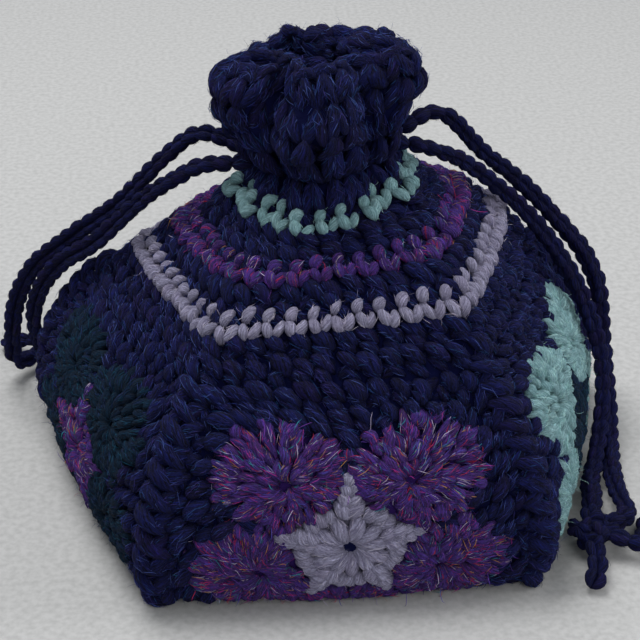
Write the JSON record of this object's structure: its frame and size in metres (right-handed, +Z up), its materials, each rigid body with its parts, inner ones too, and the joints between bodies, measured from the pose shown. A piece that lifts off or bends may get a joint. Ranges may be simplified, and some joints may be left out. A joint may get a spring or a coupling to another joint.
{
  "type": "crocheted drawstring bag",
  "caption": "Chunky crocheted drawstring bag with five flower panels, striped shoulder, gathered frilled neck and chain cords tied in knots.",
  "frame": {"origin": "middle of the flat base, on the axis of the five sides, at the level of the ground", "axes": "+Z up through the neck, -Y out of the front panel, +X to the right of someone who faces the front panel"},
  "size_m": [0.2278, 0.2006, 0.1542],
  "materials": {
    "yarn_navy": "matt wool",
    "yarn_lilac": "matt wool",
    "yarn_mint": "matt wool",
    "yarn_teal": "matt wool",
    "yarn_purple": "matt wool with bright flecks"
  },
  "bodies": {
    "root": {"front_panel_border": "yarn_navy", "front_panel_petals": "yarn_purple", "front_panel_flower_centre": "yarn_lilac", "right_panel_border": "yarn_navy", "right_panel_petals": "yarn_mint", "right_panel_flower_centre": "yarn_teal", "rear_right_panel_border": "yarn_navy", "rear_right_panel_petals": "yarn_purple", "rear_right_panel_flower_centre": "yarn_lilac", "rear_left_panel_border": "yarn_navy", "rear_left_panel_petals": "yarn_mint", "rear_left_panel_flower_centre": "yarn_teal", "left_panel_border": "yarn_navy", "left_panel_petals": "yarn_teal", "left_panel_flower_centre": "yarn_purple", "base_star": "yarn_navy", "shoulder_lower_rounds": "yarn_navy", "lilac_stripe_round": "yarn_lilac", "shoulder_middle_rounds": "yarn_navy", "purple_stripe_round": "yarn_purple", "shoulder_upper_rounds": "yarn_navy", "mint_stripe_round": "yarn_mint", "gathered_neck_rounds": "yarn_navy", "open_frill": "yarn_navy", "drawstring_left_outer": "yarn_navy", "drawstring_left_inner": "yarn_navy", "drawstring_right_outer": "yarn_navy", "drawstring_right_inner": "yarn_navy", "drawstring_tail_left_side": "yarn_navy", "drawstring_tail_left_rear": "yarn_navy", "drawstring_tail_right_side": "yarn_navy", "drawstring_tail_right_front": "yarn_navy", "drawstring_knot_left": "yarn_navy", "drawstring_knot_right": "yarn_navy"}
  },
  "joints": []
}
